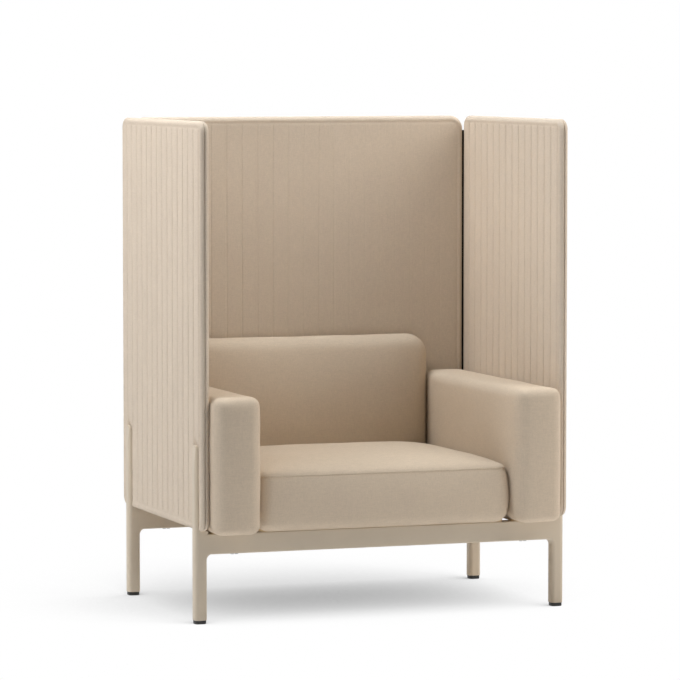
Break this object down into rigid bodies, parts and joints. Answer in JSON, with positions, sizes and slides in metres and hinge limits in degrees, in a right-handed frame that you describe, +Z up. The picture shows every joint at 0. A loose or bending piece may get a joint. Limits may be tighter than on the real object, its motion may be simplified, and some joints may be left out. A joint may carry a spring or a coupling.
{
  "type": "acoustic high back lounge chair",
  "caption": "Lounge chair with high quilted acoustic panels on three sides, boxy arms, a deep seat, a low back cushion and a painted metal frame on square legs with levelling glides.",
  "frame": {"origin": "on the floor, under the middle of the whole width and depth", "axes": "+Z up, +Y to the back of the chair, +X to the right seen from the front"},
  "size_m": [1.08, 0.783, 1.36],
  "materials": {
    "frame_paint": "fine satin powder coat, warm grey",
    "dark_paint": "matt dark grey powder coat, under the cushions",
    "zinc_steel": "zinc plated",
    "brass_insert": "turned brass",
    "glide_plastic": "matt black",
    "strip_plastic": "matt black",
    "plywood": "raw board, covered",
    "panel_fabric": "light warm grey woven wool over wadding, sewn channels",
    "cushion_fabric": "light warm grey felted wool"
  },
  "bodies": {
    "chair": {"front_rail": "frame_paint", "rear_rail": "frame_paint", "left_stretcher": "dark_paint", "right_stretcher": "dark_paint", "seat_cross_bar": "dark_paint", "front_left_leg": "frame_paint", "front_right_leg": "frame_paint", "rear_left_leg": "frame_paint", "rear_right_leg": "frame_paint", "foot_inserts": "brass_insert", "rail_screws": "zinc_steel", "left_panel_core": "plywood", "right_panel_core": "plywood", "back_panel_core": "plywood", "left_panel_outer_cover": "panel_fabric", "left_panel_inner_cover": "panel_fabric", "right_panel_outer_cover": "panel_fabric", "right_panel_inner_cover": "panel_fabric", "back_panel_front_cover": "panel_fabric", "back_panel_rear_cover": "panel_fabric", "left_corner_strip": "strip_plastic", "right_corner_strip": "strip_plastic", "prong_screws": "zinc_steel", "left_back_bracket": "dark_paint", "right_back_bracket": "dark_paint", "bracket_rail_screws": "zinc_steel", "bracket_panel_screws": "zinc_steel", "seat_board": "plywood", "left_arm_board": "plywood", "right_arm_board": "plywood", "back_board": "plywood", "seat_board_screws": "zinc_steel", "arm_board_screws": "zinc_steel", "back_board_screws": "zinc_steel", "seat_cushion": "cushion_fabric", "left_arm_cushion": "cushion_fabric", "right_arm_cushion": "cushion_fabric", "back_cushion": "cushion_fabric"},
    "front_left_glide": {"front_left_glide_pad": "glide_plastic", "front_left_glide_stud": "zinc_steel"},
    "front_right_glide": {"front_right_glide_pad": "glide_plastic", "front_right_glide_stud": "zinc_steel"},
    "rear_left_glide": {"rear_left_glide_pad": "glide_plastic", "rear_left_glide_stud": "zinc_steel"},
    "rear_right_glide": {"rear_right_glide_pad": "glide_plastic", "rear_right_glide_stud": "zinc_steel"}
  },
  "joints": [
    {"name": "front_left_glide_screw", "type": "slide", "parent": "chair", "child": "front_left_glide", "axis": [0, 0, -1], "range_m": [0, 0.01]},
    {"name": "front_right_glide_screw", "type": "slide", "parent": "chair", "child": "front_right_glide", "axis": [0, 0, -1], "range_m": [0, 0.01]},
    {"name": "rear_left_glide_screw", "type": "slide", "parent": "chair", "child": "rear_left_glide", "axis": [0, 0, -1], "range_m": [0, 0.01]},
    {"name": "rear_right_glide_screw", "type": "slide", "parent": "chair", "child": "rear_right_glide", "axis": [0, 0, -1], "range_m": [0, 0.01]}
  ]
}
